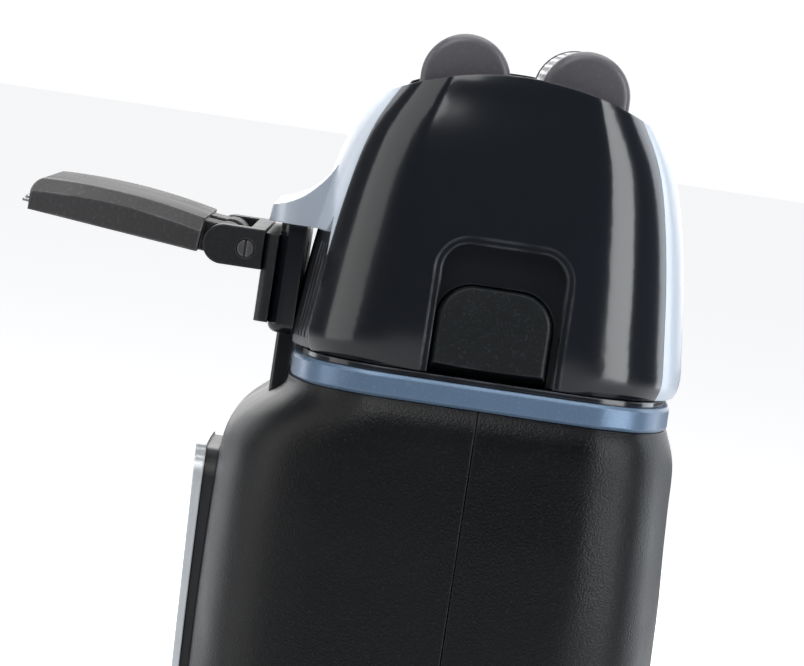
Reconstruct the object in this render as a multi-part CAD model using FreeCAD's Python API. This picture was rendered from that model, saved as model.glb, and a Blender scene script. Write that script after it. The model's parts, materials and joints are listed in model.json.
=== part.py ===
import FreeCAD, Part
import math
import os
from FreeCAD import Vector as V

# Twin-foil electric shaver with a fold-out long-hair trimmer, as an assembly of separate pieces.
# Units are millimetres. +Z runs up the handle to the foils, -Y is the front (the trimmer's side) and
# X is the width. The origin is the middle of the flat foot that the shaver stands on.

os.makedirs("parts", exist_ok=True)

# driving dimensions
ring_z = 118.0            # middle of the coloured ring between handle and head
ring_half_height = 1.15
handle_bottom = 5.0       # where the housings end and the base cap starts
wall = 2.0                # housing wall
head_base = ring_z + 1.8  # lower edge of the shaving head
shell_split_x = 22.0      # where a side cover meets the silver shells
foil_pitch_half = 5.87    # each foil's middle from the shaver's middle plane
foil_axis_z = ring_z + 30.0
foil_radius = 4.3
foil_half_length = 20.0
stroke = 1.0              # oscillation each way
pivot_y = -27.04          # trimmer hinge axis
pivot_z = ring_z + 10.4
arm_rise = 5.7            # degrees that the opened trimmer stands above level
arm_half_width = 15.0
arm_bottom = -1.33        # trimmer's flat underside, below its hinge axis
running_gap = 0.05

# helpers


def loop(z, half_x, front, back, power, count=32):
    """Closed smooth outline at height z: a squared oval with its own depth to the front and back.

    It is four edges that meet at the corners, so no seam lies on a symmetry plane."""
    points = []
    for i in range(count):
        angle = 2 * math.pi * (i + count / 8) / count
        c, s = math.cos(angle), math.sin(angle)
        depth = back if s >= 0 else front
        x = half_x * math.copysign(abs(c) ** (2 / power), c)
        y = depth * math.copysign(abs(s) ** (2 / power), s)
        points.append(V(x, y, z))
    curve = Part.BSplineCurve()
    curve.interpolate(Points=points, PeriodicFlag=True, Parameters=[float(i) for i in range(count + 1)])
    quarter = count // 4
    sides = []
    for i in range(4):
        side = curve.copy()
        side.segment(i * quarter, (i + 1) * quarter)
        sides.append(side.toShape())
    return Part.Wire(sides)


def slopes(heights, values):
    """Slopes of a smooth curve through the values that never overshoots them."""
    steps = [(v1 - v0) / (h1 - h0) for h0, h1, v0, v1 in zip(heights, heights[1:], values, values[1:])]
    inner = [2 * a * b / (a + b) if a * b > 0 else 0.0 for a, b in zip(steps, steps[1:])]
    return [steps[0]] + inner + [steps[-1]]


def even_sections(sections, spacing):
    """The same body described by outlines at even heights, interpolated without overshoot."""
    heights = [s[0] for s in sections]
    columns = [[s[k] for s in sections] for k in range(1, 5)]
    grades = [slopes(heights, column) for column in columns]
    count = max(2, math.ceil((heights[-1] - heights[0]) / spacing))
    result = []
    for i in range(count + 1):
        z = heights[0] + (heights[-1] - heights[0]) * i / count
        k = max(j for j in range(len(heights) - 1) if heights[j] <= z + 1e-9)
        span = heights[k + 1] - heights[k]
        t = (z - heights[k]) / span
        row = [z]
        for column, grade in zip(columns, grades):
            start = (1 + 2 * t) * (1 - t) ** 2 * column[k] + t * (1 - t) ** 2 * span * grade[k]
            end = t * t * (3 - 2 * t) * column[k + 1] + t * t * (t - 1) * span * grade[k + 1]
            row.append(start + end)
        result.append(tuple(row))
    return result


def loft(sections, ruled=False, spacing=3.0):
    if not ruled and len(sections) > 2:
        sections = even_sections(sections, spacing)
    return Part.makeLoft([loop(*s) for s in sections], True, ruled)


def inset(sections, by):
    """The same sections with every side moved in by a distance."""
    return [(z, x - by, f - by, b - by, n) for z, x, f, b, n in sections]


def box(x0, x1, y0, y1, z0, z1):
    return Part.makeBox(x1 - x0, y1 - y0, z1 - z0, V(x0, y0, z0))


def rod(radius, start, end):
    start, end = V(*start), V(*end)
    return Part.makeCylinder(radius, (end - start).Length, start, end - start)


def plate_y(outline, y0, y1):
    """A flat plate whose outline is given in X and Z, from y0 to y1."""
    face = Part.Face(Part.Wire(outline))
    return face.extrude(V(0, y1 - y0, 0))


def rounded_rect(a0, a1, b0, b1, radii, place):
    """Edges of a rectangle with its own corner radii (low-low, high-low, high-high, low-high)."""
    corners = [(a0, b0, 180), (a1, b0, 270), (a1, b1, 0), (a0, b1, 90)]
    signs = [(1, 1), (-1, 1), (-1, -1), (1, -1)]
    edges, ends = [], []
    for (a, b, start), (sa, sb), r in zip(corners, signs, radii):
        centre = (a + sa * r, b + sb * r)
        around = [math.radians(start + t) for t in (0, 45, 90)]
        points = [(centre[0] + r * math.cos(t), centre[1] + r * math.sin(t)) for t in around]
        ends.append(points)
    for i, points in enumerate(ends):
        if radii[i] > 0:
            edges.append(Part.Arc(*[place(*p) for p in points]).toShape())
        following = ends[(i + 1) % 4]
        edges.append(Part.LineSegment(place(*points[2]), place(*following[0])).toShape())
    return edges


def pad_y(x0, x1, z0, z1, radii, y0, y1):
    edges = rounded_rect(x0, x1, z0, z1, radii, lambda a, b: V(a, y0, b))
    return plate_y(edges, y0, y1)


def pad_x(y0, y1, z0, z1, radii, x0, x1):
    edges = rounded_rect(y0, y1, z0, z1, radii, lambda a, b: V(x0, a, b))
    return Part.Face(Part.Wire(edges)).extrude(V(x1 - x0, 0, 0))


def pad_z(x0, x1, y0, y1, radii, z0, z1):
    edges = rounded_rect(x0, x1, y0, y1, radii, lambda a, b: V(a, b, z0))
    return Part.Face(Part.Wire(edges)).extrude(V(0, 0, z1 - z0))


def mirror_x(shape):
    return shape.mirror(V(0, 0, 0), V(1, 0, 0))


def both_sides(shape):
    return Part.makeCompound([shape, mirror_x(shape)])


def edges_along(shape, test):
    return [e for e in shape.Edges if test(e)]


def softened(shape, radius, test):
    """Rounds the edges that pass the test, or leaves the shape as it is where they can't be rounded."""
    edges = edges_along(shape, test)
    if not edges:
        return shape
    try:
        made = shape.makeFillet(radius, edges)
    except Exception:
        return shape
    return made if made.isValid() and made.Volume > 0 else shape


def screw(head_radius, head_height, shank_radius, length, seat, direction):
    """A slotted pan-head screw: its head stands on seat, and its shank runs the other way."""
    seat, direction = V(*seat), V(*direction)
    head = Part.makeCylinder(head_radius, head_height, seat, direction)
    shank = Part.makeCylinder(shank_radius, length, seat, direction * -1)
    slot = Part.makeBox(3 * head_radius, 0.22 * head_radius, head_height,
                        V(-1.5 * head_radius, -0.11 * head_radius, 0.55 * head_height))
    turn = FreeCAD.Rotation(V(0, 0, 1), direction)
    slot.Placement = FreeCAD.Placement(seat, turn)
    return head.fuse(shank).cut(slot).removeSplitter()


def save(name, shape):
    shape.exportStep(f"parts/{name}.step")


# handle: housings, base, ring
# height, half width, front depth, back depth, squareness
handle_sections = [
    (handle_bottom, 23.6, 16.6, 14.2, 2.9),
    (14.0, 25.2, 19.2, 16.4, 3.0),
    (32.0, 27.2, 21.8, 18.6, 3.2),
    (56.0, 28.6, 23.5, 20.3, 3.4),
    (80.0, 29.8, 24.5, 21.3, 3.6),
    (98.0, 30.7, 24.8, 21.0, 3.8),
    (107.0, 31.0, 24.7, 20.5, 3.9),
    (110.6, 31.0, 24.2, 20.4, 3.9),
    (113.0, 31.0, 22.2, 20.2, 4.0),
    (115.3, 30.8, 20.1, 19.8, 4.1),
    (ring_z - ring_half_height - 0.05, 30.0, 19.0, 19.0, 4.3),
]
handle_outer = loft(handle_sections)
handle_inner = loft([(handle_bottom - 1, *inset(handle_sections, wall)[0][1:])]
                    + inset(handle_sections, wall)[1:]
                    + [(ring_z, 28.0, 17.0, 17.0, 4.3)])
handle_shell = handle_outer.cut(handle_inner)
far = 60.0
seam_gap = 0.06
front_half = box(-far, far, -far, -seam_gap, -1, ring_z + 5)
rear_half = box(-far, far, seam_gap, far, -1, ring_z + 5)

# front panel: follows the handle's front, standing proud of it by less and less going down
panel_top, panel_bottom = ring_z - 9.8, 40.0
panel_half_width = 11.5
panel_proud = {panel_bottom - 8: 1.3, 56.0: 1.4, 80.0: 1.6, 98.0: 1.9, 107.0: 2.3, 110.6: 2.5, 113.0: 2.6}


def panel_layer(share):
    """The handle's outline moved forward by a share of how proud the panel stands."""
    layered = []
    for z, x, f, b, n in handle_sections[2:9]:
        proud = panel_proud[z]
        front = 24.6 if z > 108 else f
        layered.append((z, x, front + share * proud, b, n))
    return loft(layered)


panel_radii = (6.0, 6.0, 3.4, 3.4)
rim_width = 1.5


def panel_prism(margin, z_low=panel_bottom, z_high=panel_top):
    radii = [max(r - margin, 0.5) for r in panel_radii]
    half = panel_half_width - margin
    return pad_y(-half, half, z_low + margin, z_high - margin, radii, -far, -12)


button_z, button_radius = ring_z - 36.0, 6.6
button_gap = 0.15
window_z0, window_z1 = ring_z - 66.0, ring_z - 52.0
window_half = 3.0

base_front = panel_layer(0.55)
insert_front = panel_layer(0.86)
rim_front = panel_layer(1.0)
button_hole = rod(button_radius + button_gap, (0, -far, button_z), (0, -18.5, button_z))
window_hole = pad_y(-window_half - 0.1, window_half + 0.1, window_z0 - 0.1, window_z1 + 0.1,
                    (1.6,) * 4, -far, -18.5)

housing_front = handle_shell.common(front_half).cut(button_hole).cut(window_hole)
panel_base = base_front.common(panel_prism(0.35)).cut(handle_outer).cut(button_hole).cut(window_hole)
panel_rim = rim_front.common(panel_prism(0)).cut(panel_prism(rim_width)).cut(base_front)
panel_insert = insert_front.common(panel_prism(rim_width + 0.08)).cut(base_front)
panel_insert = panel_insert.cut(button_hole).cut(window_hole)

button_slug = rod(button_radius, (0, -far, button_z), (0, -20.0, button_z))
power_button = insert_front.common(button_slug).cut(rod(5.0, (0, -22.5, button_z), (0, -15, button_z)))
power_button = power_button.fuse(rod(button_radius + 1.2, (0, -21.4, button_z), (0, -20.2, button_z)))
power_button = power_button.cut(Part.makeSphere(38.0, V(0, -far - 3.4, button_z)))
housing_front = housing_front.cut(rod(button_radius + 1.6, (0, -22.4, button_z), (0, -15, button_z)))

indicator_lens = insert_front.common(pad_y(-window_half, window_half, window_z0, window_z1,
                                           (1.5,) * 4, -far, -20.6))

housing_rear = handle_shell.common(rear_half)

# soft grip set into the back
grip_z0, grip_z1, grip_half = 26.0, 98.0, 17.0
grip_cut = pad_y(-grip_half, grip_half, grip_z0, grip_z1, (9, 9, 7, 7), 5, far)
grip_skin = handle_outer.cut(loft(inset(handle_sections, 0.9)))
rear_grip = grip_skin.common(grip_cut)
housing_rear = housing_rear.cut(grip_cut.common(handle_outer.cut(loft(inset(handle_sections, 0.92)))))
rib_count, rib_pitch, rib_height = 9, 6.4, 0.45
rib_skin = loft([(z, x + rib_height, f, b + rib_height, n) for z, x, f, b, n in handle_sections[:8]])
rib_skin = rib_skin.cut(loft(inset(handle_sections, 0.5)))
for i in range(rib_count):
    rib_z = grip_z0 + 10 + i * rib_pitch
    bar = pad_y(4 - grip_half, grip_half - 4, rib_z - 0.8, rib_z + 0.8, (0.79,) * 4, 5, far)
    rear_grip = rear_grip.fuse(rib_skin.common(bar))
rear_grip = rear_grip.removeSplitter()

# base cap with its rubber foot and two charging contacts
base_cap = loft([(0.6, 20.6, 14.2, 12.0, 2.8), (1.6, 22.2, 15.5, 13.2, 2.85),
                 (3.0, 23.1, 16.2, 13.8, 2.9), (handle_bottom - 0.1, 23.5, 16.5, 14.1, 2.9)])
plug_outline = [(handle_bottom - 0.2, 23.5, 16.5, 14.1, 2.9), (9.0, 24.3, 17.6, 15.2, 2.95)]
plug_sections = inset(plug_outline, wall + 0.3)
base_cap = base_cap.fuse(loft(plug_sections))
base_cap = base_cap.cut(loft([(z + 1.6, x - 1.6, f - 1.6, b - 1.6, n) for z, x, f, b, n in plug_sections]))
foot_sections = [(0.0, 17.0, 11.0, 9.2, 2.8), (1.4, 17.0, 11.0, 9.2, 2.8)]
foot_pad = loft(foot_sections)
base_cap = base_cap.cut(loft([(0.0, 17.1, 11.1, 9.3, 2.8), (1.4, 17.1, 11.1, 9.3, 2.8)]))
contact_x, contact_radius = 5.0, 1.8
contact = rod(contact_radius, (contact_x, -1, 0.25), (contact_x, -1, 7.5))
contact_hole = both_sides(rod(contact_radius + 0.02, (contact_x, -1, -1), (contact_x, -1, 9)))
foot_pad = foot_pad.cut(contact_hole)
base_cap = base_cap.cut(contact_hole)
cap_screws = []
for x in (-13.5, 13.5):
    well = rod(1.9, (x, -1, -1), (x, -1, 2.4)).fuse(rod(0.9, (x, -1, 0), (x, -1, 9)))
    base_cap = base_cap.cut(well)
    foot_pad = foot_pad.cut(well)
    cap_screws.append(screw(1.7, 1.0, 0.85, 9.0, (x, -1, 2.35), (0, 0, -1)))

# coloured ring and the collar that carries the head
ring_low, ring_high = ring_z - ring_half_height, ring_z + ring_half_height
ring = loft([(ring_low, 30.0, 18.55, 18.75, 4.6), (ring_low + 0.3, 30.25, 18.75, 18.95, 4.6),
             (ring_high - 0.3, 30.25, 18.75, 18.95, 4.6), (ring_high, 30.0, 18.55, 18.75, 4.6)], True)
accent_ring = ring.cut(loft([(ring_low - 1, 28.6, 17.1, 17.1, 4.4), (ring_high + 1, 28.6, 17.1, 17.1, 4.4)]))
collar_top = head_base - 0.1
deck_low, deck_high = ring_z - 4.6, ring_z - 3.0
collar = loft([(deck_low, 27.4, 16.4, 16.4, 4.3), (ring_low, 27.9, 16.9, 16.9, 4.3),
               (ring_high + 0.04, 28.5, 17.0, 17.0, 4.4)], True)
collar = collar.fuse(loft([(ring_high + 0.04, 29.5, 18.1, 18.3, 4.4), (collar_top, 29.5, 18.1, 18.3, 4.4)]))
collar_bore = loft([(deck_high, 26.0, 15.0, 15.0, 4.3), (collar_top + 1, 26.6, 15.4, 15.4, 4.3)], True)
collar = collar.cut(collar_bore)
port_half_x, port_half_y = 9.4, 7.6
drive_deck = collar.cut(pad_z(-port_half_x, port_half_x, -port_half_y, port_half_y, (3,) * 4,
                              deck_low - 1, deck_high + 1))
# a rubber gasket lying on the deck floor, round the drive port
deck_seal = pad_z(-port_half_x - 2, port_half_x + 2, -port_half_y - 2, port_half_y + 2, (4,) * 4,
                  deck_high, deck_high + 1.2)
deck_seal = deck_seal.cut(pad_z(-port_half_x + 0.6, port_half_x - 0.6, -port_half_y + 0.6, port_half_y - 0.6,
                                (3,) * 4, deck_high - 1, deck_high + 3))

save("front_housing", housing_front)
save("panel_backing", panel_base)
save("panel_rim", panel_rim)
save("panel_insert", panel_insert)
save("power_button", power_button)
save("indicator_lens", indicator_lens)
save("rear_grip", rear_grip)
save("base_cap", base_cap)
save("foot_pad", foot_pad)
save("charging_contacts", both_sides(contact))
save("accent_ring", accent_ring)
save("drive_deck", drive_deck)
save("deck_seal", deck_seal)

# shaving head: covers, shells, frame, release buttons
head_sections = [
    (head_base, 29.2, 19.4, 19.4, 3.4),
    (ring_z + 3.0, 29.5, 19.9, 19.9, 3.4),
    (ring_z + 7.0, 29.5, 19.5, 19.5, 3.4),
    (ring_z + 11.0, 29.3, 19.0, 19.0, 3.45),
    (ring_z + 15.0, 29.0, 18.4, 18.4, 3.5),
    (ring_z + 19.0, 28.6, 17.6, 17.6, 3.6),
    (ring_z + 23.4, 28.0, 16.3, 16.3, 3.8),
    (ring_z + 26.4, 27.4, 14.9, 14.9, 3.95),
    (ring_z + 28.2, 27.0, 13.7, 13.7, 4.1),
    (ring_z + 31.5, 26.2, 11.2, 11.2, 4.2),
]
head_wall = 1.6
arch_radius, arch_top = 28.4, ring_z + 31.0


def arch_block(lower, x0=-far, x1=far, z_low=ring_z - 10):
    """Everything below the arched top of the head, lowered by a distance."""
    radius = arch_radius - lower
    centre_z = arch_top - arch_radius
    wide = 0.95 * radius
    side_z = centre_z + math.sqrt(radius ** 2 - wide ** 2)
    start, end = V(x0, -wide, side_z), V(x0, wide, side_z)
    edges = [Part.Arc(start, V(x0, 0, centre_z + radius), end).toShape(),
             Part.LineSegment(end, V(x0, wide, z_low)).toShape(),
             Part.LineSegment(V(x0, wide, z_low), V(x0, -wide, z_low)).toShape(),
             Part.LineSegment(V(x0, -wide, z_low), start).toShape()]
    return Part.Face(Part.Wire(edges)).extrude(V(x1 - x0, 0, 0))


head_inset = inset(head_sections, head_wall)
inner_sections = [(head_base - 1, *head_inset[0][1:])] + head_inset[1:-1]
inner_sections = inner_sections + [(ring_z + 33, *head_inset[-1][1:])]
head_full, head_inner = loft(head_sections), loft(inner_sections)
head_walls = head_full.cut(head_inner).common(arch_block(0))
head_outer = head_full.common(arch_block(0))
head_roof = head_outer.cut(arch_block(head_wall))
window_x, window_y = 24.4, 11.2
head_window = pad_z(-window_x, window_x, -window_y, window_y, (2.5,) * 4, ring_z + 24, ring_z + 40)
head_roof = head_roof.cut(head_window)
split_gap = 0.05


def head_region(region):
    """The part of the head's skin inside a box: its walls joined to its roof."""
    return head_walls.common(region).fuse(head_roof.common(region)).cut(head_window)


# side cover with the recess of the release button
recess_y0, recess_y1, recess_top = -6.1, 7.35, ring_z + 15.2
step = 0.62
recess_floor_x, recess_step_x, pad_back_x = 27.0, 28.8, 25.6
side_region = box(-far, -shell_split_x - split_gap, -far, far, head_base - 5, ring_z + 40)
side_part = mirror_x(head_region(side_region))
backing = mirror_x(head_outer.common(box(-far, -pad_back_x, recess_y0 - 1.2, recess_y1 + 1.2, head_base - 1,
                                         recess_top + 1.2)))
low = head_base - 4
side_cover = side_part.fuse(backing)
side_cover = side_cover.cut(pad_x(recess_y0, recess_y1, low, recess_top, (0.5, 0.5, 3.3, 3.3),
                                  recess_step_x, far))
side_cover = side_cover.cut(pad_x(recess_y0 + step, recess_y1 - step, low, recess_top - step,
                                  (0.5, 0.5, 2.7, 2.7), recess_floor_x, far))
button_y0, button_y1, button_top, button_bottom = -5.3, 5.9, ring_z + 10.5, head_base + 0.15
side_cover = side_cover.cut(pad_x(button_y0 - 0.15, button_y1 + 0.15, low, button_top + 0.15,
                                  (0.5, 0.5, 3.5, 3.5), 20, far))
side_cover = side_cover.removeSplitter()

# release button: a dished pad in front of a flange that keeps it in
pad_face_x = 28.75
button_pad = pad_x(button_y0, button_y1, button_bottom, button_top, (0.6, 0.6, 3.4, 3.4), 24.8, pad_face_x)
button_pad = softened(button_pad, 0.75, lambda e: e.BoundBox.XMin > pad_face_x - 0.01
                      and e.BoundBox.ZMax > button_bottom + 0.5)
dish = rod(46.0, (pad_face_x + 45.65, 0.3, ring_z - 30), (pad_face_x + 45.65, 0.3, ring_z + 40))
button_pad = button_pad.cut(dish)
tail = box(24, 32, button_y0 - 1, button_y1 + 1, head_base - 4, head_base + 1.1)
tail.rotate(V(pad_face_x, 0, head_base + 1.1), V(0, 1, 0), -32)
button_pad = button_pad.cut(tail.common(box(27.2, 40, -20, 20, 0, 200)))
flange = pad_x(button_y0 - 1.1, button_y1 + 1.1, head_base + 2.2, button_top + 1.3, (0.5, 0.5, 4, 4),
               24.3, pad_back_x - 0.1)
hook = box(24.3, 25.4, -2.5, 3.1, ring_z - 0.4, head_base + 2.4)
button_hook = softened(hook, 0.3, lambda e: e.BoundBox.ZMax < ring_z)
release_button = button_pad.fuse(flange).fuse(button_hook).removeSplitter()

# silver shells between the side covers
rear_shell = head_region(box(-shell_split_x, shell_split_x, 0, far, ring_z - 5, ring_z + 40))
front_shell = head_region(box(-shell_split_x, shell_split_x, -far, 0, ring_z - 5, ring_z + 40))
visor_low = ring_z + 13.35
opening = [(-23, -5), (-23, 11.2), (-21.95, 11.2), (-20.9, 14.9), (-19.7, 13.35), (19.7, 13.35),
           (20.9, 14.9), (21.95, 11.2), (23, 11.2), (23, -5)]
opening_points = [V(x, -far, ring_z + z) for x, z in opening]
opening_wire = Part.makePolygon(opening_points + [opening_points[0]])
front_shell = front_shell.cut(Part.Face(opening_wire).extrude(V(0, far, 0)))
visor_half = 15.6


def side_point(y, z, x=-visor_half):
    return V(x, y, ring_z + z)


visor_curves = [Part.Arc(side_point(-16.6, 20.4), side_point(-18.15, 17.85), side_point(-19.6, 16.4)),
                Part.Arc(side_point(-19.6, 16.4), side_point(-21.1, 15.5), side_point(-22.7, 15.0)),
                Part.LineSegment(side_point(-22.7, 15.0), side_point(-22.9, 13.35)),
                Part.LineSegment(side_point(-22.9, 13.35), side_point(-16.4, 13.35)),
                Part.LineSegment(side_point(-16.4, 13.35), side_point(-16.6, 20.4))]
visor_edges = [curve.toShape() for curve in visor_curves]
visor = Part.Face(Part.Wire(visor_edges)).extrude(V(2 * visor_half, 0, 0))
plan = pad_z(-visor_half, visor_half, -22.95, -10, (3.2, 3.2, 0, 0), visor_low - 1, ring_z + 25)
visor = visor.common(plan)
front_shell = front_shell.fuse(visor.cut(head_inner)).removeSplitter()

# inner frame: plug that goes into the collar, walls behind the shells, end walls under the foils
skirt = loft([(ring_z - 0.6, 25.8, 14.6, 14.6, 4.3), (head_base + 0.1, 26.0, 14.8, 14.8, 4.3)], True)
skirt = skirt.cut(loft([(ring_z - 2, 24.4, 13.2, 13.2, 4.3), (head_base + 3, 24.4, 13.2, 13.2, 4.3)], True))
frame_outer = loft([(head_base - 1, *inset(head_sections, 1.9)[0][1:])] + inset(head_sections, 1.9)[1:])
frame_inner = loft([(head_base - 2, *inset(head_sections, 3.0)[0][1:])] + inset(head_sections, 3.0)[1:])
end_x, end_thickness = 22.9, 1.7
seat_z = ring_z + 18.8
frame_block = frame_outer.common(box(-end_x, end_x, -far, far, head_base, ring_z + 24.4))
cavity_x = end_x - end_thickness
cavity = frame_inner.common(box(-cavity_x, cavity_x, -far, far, head_base + 1.4, ring_z + 30))
head_frame = frame_block.cut(cavity).cut(pad_z(-20.5, 20.5, -12.2, 12.2, (3,) * 4, 0, 200))
above_seat = box(cavity_x, 30, -far, far, seat_z, 200)
head_frame = head_frame.cut(above_seat).cut(mirror_x(above_seat))
head_frame = head_frame.fuse(skirt.common(box(-end_x, end_x, -far, far, 0, 200)))
for y in (-foil_pitch_half, foil_pitch_half):
    seat = rod(1.75, (21.6, y, seat_z - 2.0), (21.6, y, seat_z))
    head_frame = head_frame.fuse([seat, mirror_x(seat)])
lever_slot = 2.6          # half the width of the slot that the trimmer's lever swings in
head_frame = head_frame.cut(box(-lever_slot, lever_slot, -25, -8, 0, ring_z + 3.9))
# the frame's front wall fills the front shell's opening, and is ribbed on both sides of the mount
front_inset, groove_depth = 0.5, 1.8
front_outer = loft([(head_base - 1, *inset(head_sections, front_inset)[0][1:])]
                   + inset(head_sections, front_inset)[1:])
fill_outline = [(-21.85, 1.9), (-21.85, 11.1), (-20.88, 14.6), (-19.6, 13.25), (19.6, 13.25), (20.88, 14.6),
                (21.85, 11.1), (21.85, 1.9)]
fill_points = [V(x, -far, ring_z + z) for x, z in fill_outline]
front_room = Part.Face(Part.makePolygon(fill_points + [fill_points[0]])).extrude(V(0, far - 8, 0))
front_wall = front_outer.common(front_room).cut(frame_inner)
mount_room_x, mount_room_y = 14.6, -18.9
front_wall = front_wall.cut(box(-mount_room_x, mount_room_x, -far, mount_room_y, 0, ring_z + 40))
front_wall = front_wall.cut(box(-lever_slot, lever_slot, -25, -8, 0, ring_z + 3.9))
groove_floor = loft([(head_base - 1, *inset(head_sections, groove_depth)[0][1:])]
                    + inset(head_sections, groove_depth)[1:])
for groove_x in (17.3, 18.5, 19.7, 20.9):
    slab = box(groove_x - 0.28, groove_x + 0.28, -far, -8, ring_z + 2.8, ring_z + 12.2)
    groove = slab.cut(groove_floor)
    front_wall = front_wall.cut(groove).cut(mirror_x(groove))
head_frame = head_frame.fuse(front_wall)
head_frame = head_frame.removeSplitter()

save("side_cover_right", side_cover)
save("side_cover_left", mirror_x(side_cover))
save("release_button_right", release_button)
save("release_button_left", mirror_x(release_button))
save("head_front_shell", front_shell)
save("head_rear_shell", rear_shell)
save("head_frame", head_frame)

# foils
cassette_low, cassette_high = ring_z + 24.7, ring_z + 26.3
slot_half = 4.8
cassette = pad_z(-24.2, 24.2, -12.4, 12.4, (2.5,) * 4, cassette_low, cassette_high)
cassette = cassette.fuse(box(-22.6, 22.6, -1.03, 1.03, cassette_low, ring_z + 29.4))
for side in (-1, 1):
    y = side * foil_pitch_half
    cassette = cassette.cut(box(-22.85, 22.85, y - slot_half, y + slot_half, cassette_low - 1, ring_z + 40))
cassette_room = inset(head_sections, head_wall + 0.15)
cassette = cassette.common(loft([(head_base - 1, *cassette_room[0][1:])] + cassette_room[1:]))
foil_cassette = softened(cassette, 0.6, lambda e: e.BoundBox.ZMin > ring_z + 29.3
                         and e.BoundBox.XLength > 20)
foil_thickness = 0.2
rail_low, rail_high = ring_z + 24.0, ring_z + 26.2
cap_x0, cap_x1 = 20.15, 22.6


def dome(radius, x0, x1, z_low):
    """Half-round section about the foil axis, with straight sides down to z_low."""
    top = rod(radius, (x0, 0, foil_axis_z), (x1, 0, foil_axis_z))
    return top.fuse(box(x0, x1, -radius, radius, z_low, foil_axis_z)).common(
        box(x0, x1, -radius, radius, z_low, foil_axis_z + radius + 1)).removeSplitter()


foil = dome(foil_radius, -foil_half_length, foil_half_length, rail_high)
foil = foil.cut(dome(foil_radius - foil_thickness, -far, far, rail_high - 1))
holder_cap = dome(foil_radius + 0.05, cap_x0, cap_x1, rail_low)
holder_cap = softened(holder_cap, 0.9, lambda e: e.BoundBox.XMin > cap_x1 - 0.01
                      and e.BoundBox.ZMax > foil_axis_z + 1)
foot = box(cap_x0, 23.6, -foil_radius, foil_radius, rail_low - 0.9, cassette_low - 0.1)
holder_end = holder_cap.fuse(foot)
rail = box(-21, 21, foil_radius - foil_thickness, foil_radius + 0.4, rail_low, rail_high)
other_rail = rail.mirror(V(0, 0, 0), V(0, 1, 0))
foil_holder = holder_end.fuse([mirror_x(holder_end), rail, other_rail]).removeSplitter()


def coil(radius, wire, pitch, height, place, per_turn=10, sides=6):
    """A compression spring as a faceted tube wound about a vertical axis, standing at a place."""
    steps = round((height - wire) / pitch * per_turn)
    rings = []
    for i in range(steps + 1):
        turn = 2 * math.pi * i / per_turn
        ring_points = []
        for k in range(sides):
            around = 2 * math.pi * k / sides
            out = radius + wire / 2 * math.cos(around)
            up = wire / 2 + wire / 2 * math.sin(around) + (height - wire) * i / steps
            x, y = out * math.cos(turn), out * math.sin(turn)
            ring_points.append(V(place[0] + x, place[1] + y, place[2] + up))
        rings.append(ring_points)
    triangles = []
    for lower, upper in zip(rings, rings[1:]):
        for k in range(sides):
            after = (k + 1) % sides
            triangles.append((lower[k], lower[after], upper[after]))
            triangles.append((lower[k], upper[after], upper[k]))
    for k in range(1, sides - 1):
        triangles.append((rings[0][0], rings[0][k + 1], rings[0][k]))
        triangles.append((rings[-1][0], rings[-1][k], rings[-1][k + 1]))
    shell = Part.makeShell([Part.Face(Part.makePolygon([*corners, corners[0]])) for corners in triangles])
    shell.sewShape()
    solid = Part.makeSolid(shell)
    if solid.Volume < 0:
        solid.reverse()
    return solid


def placed(shape, x, y, z):
    made = shape.copy()
    made.translate(V(x, y, z))
    return made


spring_height = rail_low - 0.9 - seat_z
for name, side in (("front", -1), ("rear", 1)):
    y = side * foil_pitch_half
    save(f"{name}_foil", placed(foil, 0, y, 0))
    save(f"{name}_foil_holder", placed(foil_holder, 0, y, 0))
    springs = [coil(1.5, 0.35, 1.0, spring_height - 0.1, (x, y, seat_z + 0.05)) for x in (-21.6, 21.6)]
    save(f"{name}_foil_springs", Part.makeCompound(springs))
save("foil_cassette", foil_cassette)

# drive: motor, eccentric, oscillating bridge, cutters
blade_radius = 3.95
blade_low = ring_z + 27.2
blade_half = 18.7
fin = 0.5
fin_count = 28
spine = rod(2.3, (-blade_half, 0, foil_axis_z), (blade_half, 0, foil_axis_z))
spine = spine.fuse(box(-blade_half, blade_half, -2.3, 2.3, blade_low, foil_axis_z)).removeSplitter()
fins = []
for i in range(fin_count):
    x = -blade_half + i * (2 * blade_half - fin) / (fin_count - 1)
    disc = rod(blade_radius, (x, 0, foil_axis_z), (x + fin, 0, foil_axis_z))
    lower = box(x, x + fin, -blade_radius, blade_radius, blade_low, foil_axis_z)
    fins.append(disc.common(box(x, x + fin, -9, 9, foil_axis_z, 999)).fuse(lower))
cutter_blades = spine.fuse(fins).removeSplitter()
holder_low = ring_z + 20.5
cutter_holder = pad_z(-18.6, 18.6, -3.2, 3.2, (1.2,) * 4, holder_low, blade_low)
post_radius, post_top = 1.6, ring_z + 22.0
post_bore = rod(post_radius + running_gap, (0, 0, holder_low - 1), (0, 0, ring_z + 24.2))
cutter_holder = cutter_holder.cut(post_bore)
bridge_low, bridge_high = ring_z + 1.9, ring_z + 4.0
cutter_spring_height = holder_low - bridge_high
for name, side in (("front", -1), ("rear", 1)):
    y = side * foil_pitch_half
    save(f"{name}_cutter_blades", placed(cutter_blades, 0, y, 0))
    save(f"{name}_cutter_holder", placed(cutter_holder, 0, y, 0))
cutter_springs = []
for side in (-1, 1):
    spring_foot = (0, side * foil_pitch_half, bridge_high + 0.05)
    cutter_springs.append(coil(2.1, 0.4, 1.9, cutter_spring_height - 0.1, spring_foot))
save("cutter_springs", Part.makeCompound(cutter_springs))

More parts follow.
